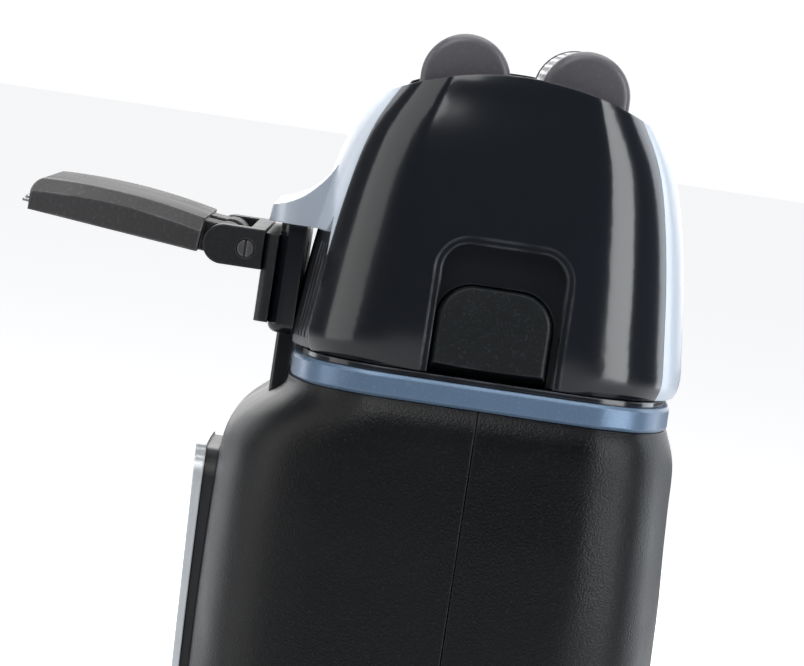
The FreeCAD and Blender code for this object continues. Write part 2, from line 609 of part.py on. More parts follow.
block_low, block_high = 109.2, 111.6
pin_offset, pin_radius = 1.0, 0.8
pin_window = pin_offset + pin_radius + stroke + 0.3
bridge = box(-12.5, 12.5, -6.0, 6.0, block_low, block_high)
bridge = bridge.cut(pad_z(-pin_window, pin_window, -2.2, 2.2, (0.8,) * 4, block_low - 1, block_high + 1))
for side in (-1, 1):
    stem_y = side * 4.6
    bridge = bridge.fuse(box(-6.0, 6.0, stem_y - 0.8, stem_y + 0.8, block_high - 0.2, bridge_low + 0.2))
    bridge = bridge.fuse(rod(post_radius, (0, side * foil_pitch_half, bridge_high - 1),
                             (0, side * foil_pitch_half, post_top)))
bridge = bridge.fuse(pad_z(-6.6, 6.6, -8.8, 8.8, (1.5,) * 4, bridge_low, bridge_high))
drive_bridge = bridge.removeSplitter()
leaf_x, leaf_low = 12.0, 91.5
leaf = box(leaf_x - 0.15, leaf_x + 0.15, -4.0, 4.0, leaf_low, block_low)
lever_half = 1.2
lever = box(-lever_half, lever_half, -20.9, -8.8, ring_z + 2.15, ring_z + 3.3)
lever = lever.fuse(box(-lever_half, lever_half, -20.9, -20.0, ring_z + 2.15, ring_z + 11.0))
lever = lever.fuse(box(-lever_half, lever_half, -24.9, -20.0, ring_z + 9.9, ring_z + 11.0))
trimmer_drive_lever = lever.removeSplitter()
save("drive_bridge", drive_bridge)
save("drive_leaf_springs", both_sides(leaf))
save("trimmer_drive_lever", trimmer_drive_lever)

motor_z0, motor_z1 = 74.0, 104.0
can_radius, can_flat, can_wall = 10.2, 7.7, 0.8


def flatted(radius, flat, z0, z1):
    return rod(radius, (0, 0, z0), (0, 0, z1)).common(box(-99, 99, -flat, flat, z0, z1))


motor_can = flatted(can_radius, can_flat, motor_z0, motor_z1)
motor_can = motor_can.cut(flatted(can_radius - can_wall, can_flat - can_wall, motor_z0 - 1,
                                  motor_z1 - can_wall))
boss = rod(3.0, (0, 0, motor_z1), (0, 0, motor_z1 + 1.4))
bush_radius, shaft_radius = 2.2, 1.0
motor_can = motor_can.fuse(boss).cut(rod(bush_radius, (0, 0, motor_z1 - 2), (0, 0, motor_z1 + 3)))
bush = rod(bush_radius, (0, 0, motor_z1 - 1.2), (0, 0, motor_z1 + 1.4))
motor_bush = bush.cut(rod(shaft_radius + 0.03, (0, 0, 0), (0, 0, 200)))
end_cap = flatted(can_radius, can_flat, motor_z0 - 2.0, motor_z0 - 0.05)
end_cap = end_cap.fuse(flatted(can_radius - can_wall - running_gap, can_flat - can_wall - running_gap,
                               motor_z0 - 0.1, motor_z0 + 1.4))
motor_end_cap = end_cap.cut(rod(shaft_radius + 0.03, (0, 0, 0), (0, 0, 200)))
magnets = flatted(can_radius - can_wall - 0.02, can_flat - can_wall - 0.02, 79.0, 98.0).cut(
    rod(6.3, (0, 0, 0), (0, 0, 200))).common(box(-99, 99, -5.0, 5.0, 0, 200))
armature = rod(6.0, (0, 0, 80.5), (0, 0, 96.5))
for turn in (30, 150, 270):
    groove = box(2.6, 7, -0.9, 0.9, 80, 97).fuse(rod(1.7, (3.9, 0, 80), (3.9, 0, 97)))
    groove.rotate(V(0, 0, 0), V(0, 0, 1), turn)
    armature = armature.cut(groove)
armature = armature.fuse(rod(2.3, (0, 0, 76.2), (0, 0, 80.6)))
motor_rotor = armature.fuse(rod(shaft_radius, (0, 0, 71.0), (0, 0, 108.0))).removeSplitter()
hub_low, hub_high = 105.7, 108.5
eccentric = rod(3.1, (0, 0, hub_low), (0, 0, hub_high)).cut(rod(shaft_radius, (0, 0, 0), (0, 0, 108.0)))
weight = rod(5.4, (0, 0, hub_low), (0, 0, hub_high)).common(box(-9, -0.8, -9, 9, 0, 200))
eccentric = eccentric.fuse(weight.cut(rod(shaft_radius, (0, 0, 0), (0, 0, 200))))
crank_pin = rod(pin_radius, (pin_offset, 0, hub_high - 0.4), (pin_offset, 0, 112.2))
eccentric_cam = eccentric.fuse(crank_pin).removeSplitter()
save("motor_can", motor_can)
save("motor_bush", motor_bush)
save("motor_end_cap", motor_end_cap)
save("motor_magnets", magnets)
save("motor_rotor", motor_rotor)
save("eccentric_cam", eccentric_cam)

# chassis, battery, board
battery_y, battery_radius = 2.2, 7.1
chassis = box(-13.2, 13.2, 11.2, 12.6, 18.0, 107.0)
for z0, z1 in ((17.0, 18.6), (70.0, 71.6), (90.0, 91.5)):
    chassis = chassis.fuse(box(-13.2, 13.2, -9.5, 12.6, z0, z1))
for side in (-1, 1):
    x0, x1 = sorted((side * 11.9, side * 13.2))
    chassis = chassis.fuse(box(x0, x1, -9.5, 12.6, 17.5, 71.0))
chassis = chassis.cut(flatted(can_radius + 0.1, can_flat + 0.1, 80, 100))
chassis = chassis.cut(rod(2.2, (0, 0, 69), (0, 0, 75)))
chassis = chassis.cut(box(-7.5, 7.5, -12, -3.5, 16, 19))
screw_spots = [(x, z) for x in (-9.6, 9.6) for z in (24.0, 78.0)]
bosses, chassis_screws = [], []
for x, z in screw_spots:
    chassis = chassis.cut(rod(1.05, (x, 11, z), (x, 13, z)))
    bosses.append(rod(2.2, (x, 12.65, z), (x, 25, z)).common(handle_inner))
    chassis_screws.append(screw(1.9, 1.1, 1.0, 5.0, (x, 11.15, z), (0, -1, 0)))
inner_chassis = chassis.removeSplitter()
battery = rod(battery_radius, (0, battery_y, 19.6), (0, battery_y, 68.6))
battery = softened(battery, 0.7, lambda e: True)
battery_cell = battery.fuse(rod(2.6, (0, battery_y, 68.4), (0, battery_y, 69.4))).removeSplitter()
tab_y0, tab_y1 = battery_y - 9.5, battery_y - 9.2
lower_tab = box(-4, 4, tab_y0, battery_y + 4, 19.0, 19.3).fuse(box(-4, 4, tab_y0, tab_y1, 19.0, 27))
upper_tab = box(-4, 4, tab_y0, battery_y + 3, 69.42, 69.72).fuse(box(-4, 4, tab_y0, tab_y1, 61, 69.72))
board_y0, board_y1 = -15.4, -14.2
board = pad_y(-9.5, 9.5, 30.0, 92.0, (1.2,) * 4, board_y0, board_y1)
parts_on_board = [box(-3.5, 3.5, board_y1, board_y1 + 1.1, 44, 51),
                  box(-6.5, -2.5, board_y1, board_y1 + 1.6, 70, 76),
                  box(2.5, 6.5, board_y1, board_y1 + 1.2, 70, 74),
                  rod(2.4, (5, board_y1, 38), (5, board_y1 + 4.0, 38)),
                  box(-7, -4, board_y1, board_y1 + 0.8, 34, 38)]
led_heights = [window_z0 + rise for rise in (2.6, 7.0, 11.4)]
leds = [box(-0.9, 0.9, board_y0 - 0.8, board_y0, z - 0.6, z + 0.6) for z in led_heights]
switch = box(-3, 3, board_y0 - 2.0, board_y0, button_z - 3, button_z + 3)
tact_switch = switch.fuse(rod(1.4, (0, board_y0 - 1.5, button_z), (0, -19.55, button_z))).removeSplitter()
save("inner_chassis", inner_chassis)
save("housing_screws", Part.makeCompound(chassis_screws + cap_screws))
save("battery_cell", battery_cell)
save("battery_tabs", Part.makeCompound([lower_tab.removeSplitter(), upper_tab.removeSplitter()]))
save("circuit_board", board)
save("board_components", Part.makeCompound(parts_on_board + leds))
save("tact_switch", tact_switch)
screw_holes = Part.makeCompound([rod(1.0, (x, 11, z), (x, 16.3, z)) for x, z in screw_spots])
rear_housing = housing_rear.fuse(bosses).cut(screw_holes).removeSplitter()
save("rear_housing", rear_housing)

# trimmer: mount and bracket on the handle
mount_low, mount_high = ring_z + 2.5, ring_z + 13.25
mount_face, plate_face = -21.6, -23.0
mount = pad_z(-14.4, 14.4, mount_face, -19.0, (1.6, 1.6, 0, 0), mount_low, mount_high)
mount = mount.fuse(pad_z(-10.5, 10.5, -20.6, -18.95, (0.5, 0.5, 0, 0), ring_z - 6.5, mount_low + 1))
mount = mount.cut(handle_outer)
slot_x = lever_half + stroke + 0.15
mount = mount.cut(box(-slot_x, slot_x, -25, -10, ring_z + 1.0, ring_z + 11.3))
mount_block = softened(mount.removeSplitter(), 0.9, lambda e: abs(e.BoundBox.ZMin - mount_low) < 0.01
                       and abs(e.BoundBox.ZMax - mount_low) < 0.01 and e.BoundBox.YMax < mount_face + 0.01)
face = pad_z(-14.8, 14.8, plate_face, mount_face - 0.02, (0.9, 0.9, 0, 0), ring_z + 3.4, ring_z + 12.1)
mount_plate = face.cut(box(-slot_x, slot_x, -30, -20, ring_z + 9.0, ring_z + 11.3))
ear_in, ear_out = 11.5, 15.0
ear_low, ear_high = pivot_z - 1.95, pivot_z + 1.95
ear = pad_x(pivot_y - 1.95, plate_face - 0.02, ear_low, ear_high, (1.94, 0, 0, 1.94), ear_in, ear_out)
pin_end = ear_out - 0.7
ear = ear.cut(rod(0.6, (0, pivot_y, pivot_z), (pin_end, pivot_y, pivot_z)))
screw_y, screw_z = -24.74, ring_z + 10.3
ear = ear.cut(rod(0.9, (ear_out - 0.45, screw_y, screw_z), (20, screw_y, screw_z)))
ear = ear.cut(rod(0.5, (ear_in, screw_y, screw_z), (20, screw_y, screw_z)))
web = box(-ear_in - 0.1, ear_in + 0.1, -24.55, plate_face - 0.02, ear_low, ear_high)
web = web.cut(box(-slot_x, slot_x, -30, -20, ring_z + 9.7, ring_z + 11.2))
trimmer_bracket = web.fuse([ear, mirror_x(ear)]).removeSplitter()
hinge_pin = rod(0.6, (-pin_end, pivot_y, pivot_z), (pin_end, pivot_y, pivot_z))
bracket_screw = screw(0.84, 0.42, 0.5, 2.4, (ear_out - 0.44, screw_y, screw_z), (1, 0, 0))
save("trimmer_mount", mount_block)
save("trimmer_mount_plate", mount_plate)
save("trimmer_bracket", trimmer_bracket)
save("trimmer_hinge_pin", hinge_pin)
save("bracket_screws", both_sides(bracket_screw))

# trimmer arm, drawn level with its hinge at the origin, then raised into place


def opened(shape):
    made = shape.copy()
    made.rotate(V(0, 0, 0), V(1, 0, 0), -arm_rise)
    made.translate(V(0, pivot_y, pivot_z))
    return made


def arm_point(reach, height, x=-arm_half_width):
    return V(x, -reach, height)


root_reach, tip_reach = 2.35, 19.42
arm_edges = [Part.LineSegment(arm_point(root_reach, arm_bottom), arm_point(tip_reach, arm_bottom)).toShape(),
             Part.LineSegment(arm_point(tip_reach, arm_bottom), arm_point(19.58, 0.55)).toShape(),
             Part.Arc(arm_point(19.58, 0.55), arm_point(19.35, 1.35), arm_point(18.75, 1.92)).toShape(),
             Part.Arc(arm_point(18.75, 1.92), arm_point(10.5, 2.49), arm_point(root_reach, 1.98)).toShape(),
             Part.LineSegment(arm_point(root_reach, 1.98), arm_point(root_reach, arm_bottom)).toShape()]
arm = Part.Face(Part.Wire(arm_edges)).extrude(V(2 * arm_half_width, 0, 0))
bevel = 1.3
long_top = edges_along(arm, lambda e: e.BoundBox.YLength > 14 and e.BoundBox.ZMax > 2.2)
arm = arm.makeChamfer(bevel, long_top)
hollow = box(-13.5, 13.5, -18.5, -3.6, -5, 0.95)
knuckle = rod(1.85, (3.4, 0, 0), (11.2, 0, 0)).fuse(box(3.4, 11.2, -2.6, -0.1, -1.3, 1.7))
arm = arm.cut(hollow).fuse([knuckle, mirror_x(knuckle)])
arm = arm.cut(rod(0.6 + running_gap, (-20, 0, 0), (20, 0, 0)))
blade_slot = box(-13.1, 13.1, -21, -18.0, -0.78, 0.0)
trimmer_cover = arm.cut(blade_slot).removeSplitter()
base_plate = box(-13.45, 13.45, -18.45, -3.65, arm_bottom, -0.78)


def toothed(half, low_reach, root, tip, z0, z1, count, width):
    """A steel blade: a flat plate with a row of pointed teeth along its outer edge."""
    blade = box(-half, half, -root, -low_reach, z0, z1)
    pitch = (2 * half - width) / (count - 1)
    teeth = []
    for i in range(count):
        x = -half + width / 2 + i * pitch
        base, point = width / 2, 0.35 * width / 2
        corners = [V(x - base, -root + 0.05, z0), V(x + base, -root + 0.05, z0), V(x + point, -tip, z0),
                   V(x - point, -tip, z0)]
        teeth.append(Part.Face(Part.makePolygon(corners + [corners[0]])).extrude(V(0, 0, z1 - z0)))
    return blade.fuse(teeth).removeSplitter()


fixed_comb = toothed(12.9, 8.0, 19.0, 20.3, -0.76, -0.46, 22, 0.6)
moving_blade = toothed(11.7, 9.0, 19.0, 20.15, -0.44, -0.16, 20, 0.5)
blade_spring = box(-6, 6, -12.5, -10.5, 0.55, 0.8)
for side in (-1, 1):
    prong = box(side * 5.2 - 0.5, side * 5.2 + 0.5, -16.5, -10.6, 0.05, 0.25)
    link = box(side * 5.2 - 0.5, side * 5.2 + 0.5, -12.4, -12.1, 0.1, 0.7)
    blade_spring = blade_spring.fuse([prong, link])
plate_screws = []
screw_seat = arm_bottom + 0.36
for x in (-9, 9):
    base_plate = base_plate.cut(rod(0.95, (x, -5.6, -3), (x, -5.6, screw_seat)))
    base_plate = base_plate.cut(rod(0.52, (x, -5.6, -3), (x, -5.6, 0)))
    plate_screws.append(screw(0.9, 0.35, 0.5, 1.5, (x, -5.6, screw_seat), (0, 0, -1)))
trimmer_screws = Part.makeCompound(plate_screws)
save("trimmer_cover", opened(trimmer_cover))
save("trimmer_base_plate", opened(base_plate))
save("trimmer_fixed_comb", opened(fixed_comb))
save("trimmer_moving_blade", opened(moving_blade))
save("trimmer_blade_spring", opened(blade_spring.removeSplitter()))
save("trimmer_screws", opened(trimmer_screws))
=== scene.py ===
import json
import math
import bmesh
import bpy
from mathutils import Matrix, Vector


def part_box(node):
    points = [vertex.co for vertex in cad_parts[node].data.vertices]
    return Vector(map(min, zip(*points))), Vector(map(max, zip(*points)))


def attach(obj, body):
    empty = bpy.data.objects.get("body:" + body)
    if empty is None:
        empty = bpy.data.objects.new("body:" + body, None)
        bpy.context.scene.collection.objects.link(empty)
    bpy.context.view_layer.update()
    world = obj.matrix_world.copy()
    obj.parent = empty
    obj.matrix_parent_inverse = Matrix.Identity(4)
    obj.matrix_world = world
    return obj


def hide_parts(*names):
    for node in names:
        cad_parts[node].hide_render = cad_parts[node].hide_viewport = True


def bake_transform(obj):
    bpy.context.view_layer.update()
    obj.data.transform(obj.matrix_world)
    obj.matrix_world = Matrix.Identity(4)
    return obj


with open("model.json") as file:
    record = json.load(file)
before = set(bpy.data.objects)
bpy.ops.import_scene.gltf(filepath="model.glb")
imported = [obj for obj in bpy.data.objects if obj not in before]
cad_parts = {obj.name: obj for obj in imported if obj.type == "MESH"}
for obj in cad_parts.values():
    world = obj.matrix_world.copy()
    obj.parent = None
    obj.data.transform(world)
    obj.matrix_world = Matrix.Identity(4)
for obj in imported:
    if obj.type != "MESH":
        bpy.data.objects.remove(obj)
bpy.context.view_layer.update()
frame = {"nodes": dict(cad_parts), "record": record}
nodes = frame["nodes"]
bodyOf = {name: body for body, names in frame["record"]["behaviour"]["bodies"].items() for name in names}
slotOf = {part["node"]: part["material_slot"] for part in frame["record"]["subparts"]}
scene = bpy.context.scene
print("stage: frame loaded,", len(nodes), "nodes")


# node group helpers
def newGroup(name, inputs, outputs):
    group = bpy.data.node_groups.new(name, "ShaderNodeTree")
    for label, kind, value in inputs:
        socket = group.interface.new_socket(label, in_out="INPUT", socket_type=kind)
        socket.default_value = value
    for label, kind in outputs:
        group.interface.new_socket(label, in_out="OUTPUT", socket_type=kind)
    return group, group.nodes.new("NodeGroupInput"), group.nodes.new("NodeGroupOutput")


def addNode(tree, kind, links=(), **settings):
    # settings that name an input set its value, the others set the node itself
    node = tree.nodes.new(kind)
    for key, value in settings.items():
        if hasattr(node, key):
            setattr(node, key, value)
        else:
            node.inputs[key].default_value = value
    for source, target in links:
        tree.links.new(source, node.inputs[target])
    return node


floatSocket, vectorSocket = "NodeSocketFloat", "NodeSocketVector"


def mapRange(tree, source, low, high, outLow=0.0, outHigh=1.0):
    node = addNode(tree, "ShaderNodeMapRange", [(source, "Value")])
    for label, value in (("From Min", low), ("From Max", high), ("To Min", outLow), ("To Max", outHigh)):
        node.inputs[label].default_value = value
    return node.outputs["Result"]


def multiply(tree, first, second):
    node = tree.nodes.new("ShaderNodeMath")
    node.operation = "MULTIPLY"
    tree.links.new(first, node.inputs[0])
    if isinstance(second, (int, float)):
        node.inputs[1].default_value = second
    else:
        tree.links.new(second, node.inputs[1])
    return node.outputs[0]


# moulded grain: a fine and a coarse noise, as height and as a speckle mask
grainLook = {"fineDetail": 2.0, "fineRoughness": 0.6, "coarseDetail": 1.0, "coarseScale": 0.22,
             "speckleRange": (0.56, 0.72)}


def makeGrainGroup():
    group, source, sink = newGroup("mouldedGrain",
                                   [("Scale", floatSocket, 3000.0), ("Coarse", floatSocket, 0.3)],
                                   [("Height", floatSocket), ("Speckle", floatSocket)])
    place = group.nodes.new("ShaderNodeTexCoord")
    fine = addNode(group, "ShaderNodeTexNoise",
                   [(place.outputs["Object"], "Vector"), (source.outputs[0], "Scale")],
                   Detail=grainLook["fineDetail"], Roughness=grainLook["fineRoughness"])
    slower = multiply(group, source.outputs[0], grainLook["coarseScale"])
    coarse = addNode(group, "ShaderNodeTexNoise", [(place.outputs["Object"], "Vector"), (slower, "Scale")],
                     Detail=grainLook["coarseDetail"])
    coarseShare = multiply(group, coarse.outputs["Fac"], source.outputs[1])
    total = addNode(group, "ShaderNodeMath", operation="ADD")
    group.links.new(fine.outputs["Fac"], total.inputs[0])
    group.links.new(coarseShare, total.inputs[1])
    group.links.new(total.outputs[0], sink.inputs["Height"])
    group.links.new(mapRange(group, fine.outputs["Fac"], *grainLook["speckleRange"]), sink.inputs["Speckle"])
    return group


# edge wear and painted edge highlight: a mask for lighter colour where the surface turns sharply, part worn edge
# and part painted highlight, broken up by noise; it also gives the softened normal
edgeLook = {"softRadius": 0.00022, "wearAndHighlightRadius": 0.0004, "samples": 4, "turnRange": (0.97, 0.75),
            "breakRange": (0.35, 0.6), "breakDetail": 3.0}


def makeEdgeGroup():
    group, source, sink = newGroup("edgeWearAndPaintedHighlight",
                                   [("Amount", floatSocket, 0.5), ("Break Scale", floatSocket, 240.0)],
                                   [("Mask", floatSocket), ("Soft Normal", vectorSocket)])
    soft = addNode(group, "ShaderNodeBevel", samples=edgeLook["samples"], Radius=edgeLook["softRadius"])
    wide = addNode(group, "ShaderNodeBevel", samples=edgeLook["samples"], Radius=edgeLook["wearAndHighlightRadius"])
    face = group.nodes.new("ShaderNodeNewGeometry")
    turn = addNode(group, "ShaderNodeVectorMath", operation="DOT_PRODUCT")
    group.links.new(wide.outputs[0], turn.inputs[0])
    group.links.new(face.outputs["Normal"], turn.inputs[1])
    place = group.nodes.new("ShaderNodeTexCoord")
    breaks = addNode(group, "ShaderNodeTexNoise",
                     [(place.outputs["Object"], "Vector"), (source.outputs["Break Scale"], "Scale")],
                     Detail=edgeLook["breakDetail"])
    # mask of the lighter edges: part wear, part painted highlight
    edge = mapRange(group, turn.outputs["Value"], *edgeLook["turnRange"])
    wornAndLit = multiply(group, edge, mapRange(group, breaks.outputs["Fac"], *edgeLook["breakRange"]))
    group.links.new(multiply(group, wornAndLit, source.outputs["Amount"]), sink.inputs["Mask"])
    group.links.new(soft.outputs[0], sink.inputs["Soft Normal"])
    return group


# handling marks: broad smudges for colour and roughness, and a few fine scratches for height
marksLook = {"smudgeDetail": 4.0, "smudgeBend": 0.6, "smudgeRange": (0.35, 0.7), "scratchDetail": 1.0,
             "scratchTurn": (0.3, 0.5, 0.2), "scratchStretch": (900.0, 700.0, 40.0),
             "scratchRange": (0.66, 0.74)}


def makeSmudgeGroup():
    group, source, sink = newGroup("handlingMarks", [("Smudge Scale", floatSocket, 60.0)],
                                   [("Smudge", floatSocket), ("Scratch", floatSocket)])
    place = group.nodes.new("ShaderNodeTexCoord")
    smudge = addNode(group, "ShaderNodeTexNoise",
                     [(place.outputs["Object"], "Vector"), (source.outputs[0], "Scale")],
                     Detail=marksLook["smudgeDetail"], Distortion=marksLook["smudgeBend"])
    stretch = addNode(group, "ShaderNodeMapping", [(place.outputs["Object"], "Vector")])
    stretch.inputs["Rotation"].default_value = marksLook["scratchTurn"]
    stretch.inputs["Scale"].default_value = marksLook["scratchStretch"]
    lines = addNode(group, "ShaderNodeTexNoise", [(stretch.outputs[0], "Vector")], Scale=1.0,
                    Detail=marksLook["scratchDetail"])
    group.links.new(mapRange(group, smudge.outputs["Fac"], *marksLook["smudgeRange"]), sink.inputs["Smudge"])
    group.links.new(mapRange(group, lines.outputs["Fac"], *marksLook["scratchRange"]), sink.inputs["Scratch"])
    return group


# brushed lines along one axis, for ground and drawn metal
brushedLook = {"detail": 3.0, "height": 1.4, "tone": 0.35, "shade": 0.6}


def makeBrushedGroup():
    group, source, sink = newGroup("brushedLines", [("Across", vectorSocket, (40.0, 4000.0, 4000.0))],
                                   [("Line", floatSocket)])
    place = group.nodes.new("ShaderNodeTexCoord")
    scaled = addNode(group, "ShaderNodeVectorMath", operation="MULTIPLY")
    group.links.new(place.outputs["Object"], scaled.inputs[0])
    group.links.new(source.outputs[0], scaled.inputs[1])
    lines = addNode(group, "ShaderNodeTexNoise", [(scaled.outputs[0], "Vector")], Scale=1.0,
                    Detail=brushedLook["detail"])
    group.links.new(lines.outputs["Fac"], sink.inputs["Line"])
    return group


grainGroup, edgeGroup = makeGrainGroup(), makeEdgeGroup()
smudgeGroup, brushedGroup = makeSmudgeGroup(), makeBrushedGroup()


def placeGroup(tree, group, **values):
    node = tree.nodes.new("ShaderNodeGroup")
    node.node_tree = group
    for label, value in values.items():
        node.inputs[label.replace("_", " ")].default_value = value
    return node


def mixColour(tree, factor, first, second):
    node = addNode(tree, "ShaderNodeMix", data_type="RGBA")
    tree.links.new(factor, node.inputs[0])
    for value, index in ((first, 6), (second, 7)):
        if isinstance(value, tuple):
            node.inputs[index].default_value = (*value, 1.0)
        else:
            tree.links.new(value, node.inputs[index])
    return node.outputs[2]


def lighter(colour, gain, lift):
    return tuple(min(1, c * gain + lift) for c in colour)


# one finish: colour with smudges, speckle and edges lightened as wear and as a painted highlight, roughness with
# smudges, and a bump
plainFinish = {"coarse": 0.3, "wearAndHighlight": 0.4, "smudgeScale": 60.0, "shade": 0.82, "speckle": 0.15, "scratch": 0.15,
               "bump": 0.25, "depth": 0.00004, "ior": 1.5, "metallic": 0.0}
finishRules = {"speckleLift": (1.8, 0.02), "wearAndHighlightLift": (1.5, 0.05), "smoothest": 0.88, "roughest": 1.22}


def makeFinish(name, ownValues):
    finish = {**plainFinish, **ownValues}
    material = bpy.data.materials.new(name)
    material.use_nodes = True
    tree = material.node_tree
    shader = tree.nodes["Principled BSDF"]
    grain = placeGroup(tree, grainGroup, Scale=finish["grainScale"], Coarse=finish["coarse"])
    edge = placeGroup(tree, edgeGroup, Amount=finish["wearAndHighlight"])
    marks = placeGroup(tree, smudgeGroup, Smudge_Scale=finish["smudgeScale"])
    base = finish["colour"]
    darker = tuple(c * finish["shade"] for c in base)
    colour = mixColour(tree, marks.outputs["Smudge"], base, darker)
    speckle = multiply(tree, grain.outputs["Speckle"], finish["speckle"])
    speckleColour = finish.get("speckleColour", lighter(base, *finishRules["speckleLift"]))
    colour = mixColour(tree, speckle, colour, speckleColour)
    # edges painted lighter: part real wear, part painted edge highlight
    wearAndHighlightColour = finish.get("wearAndHighlightColour", lighter(base, *finishRules["wearAndHighlightLift"]))
    colour = mixColour(tree, edge.outputs["Mask"], colour, wearAndHighlightColour)
    rough = finish["roughness"]
    roughness = mapRange(tree, marks.outputs["Smudge"], 0, 1, rough * finishRules["smoothest"],
                         min(1.0, rough * finishRules["roughest"]))
    if finish["metallic"] > 0:
        shader.inputs["Metallic"].default_value = finish["metallic"]
    if "brushed" in finish:
        brushed = placeGroup(tree, brushedGroup, Across=finish["brushed"])
        height = addNode(tree, "ShaderNodeMath", operation="MULTIPLY_ADD")
        tree.links.new(brushed.outputs["Line"], height.inputs[0])
        height.inputs[1].default_value = brushedLook["height"]
        tree.links.new(grain.outputs["Height"], height.inputs[2])
        height = height.outputs[0]
        lineTone = multiply(tree, brushed.outputs["Line"], brushedLook["tone"])
        colour = mixColour(tree, lineTone, colour, tuple(c * brushedLook["shade"] for c in base))
    else:
        height = grain.outputs["Height"]
    scratched = addNode(tree, "ShaderNodeMath", operation="SUBTRACT")
    tree.links.new(height, scratched.inputs[0])
    tree.links.new(multiply(tree, marks.outputs["Scratch"], finish["scratch"]), scratched.inputs[1])
    bump = addNode(tree, "ShaderNodeBump",
                   [(scratched.outputs[0], "Height"), (edge.outputs["Soft Normal"], "Normal")])
    bump.inputs["Strength"].default_value = finish["bump"]
    bump.inputs["Distance"].default_value = finish["depth"]
    tree.links.new(colour, shader.inputs["Base Color"])
    tree.links.new(roughness, shader.inputs["Roughness"])
    tree.links.new(bump.outputs[0], shader.inputs["Normal"])
    shader.inputs["IOR"].default_value = finish["ior"]
    for label in ("Coat Weight", "Coat Roughness", "Sheen Weight", "Transmission Weight"):
        if label in finish:
            shader.inputs[label].default_value = finish[label]
    return material


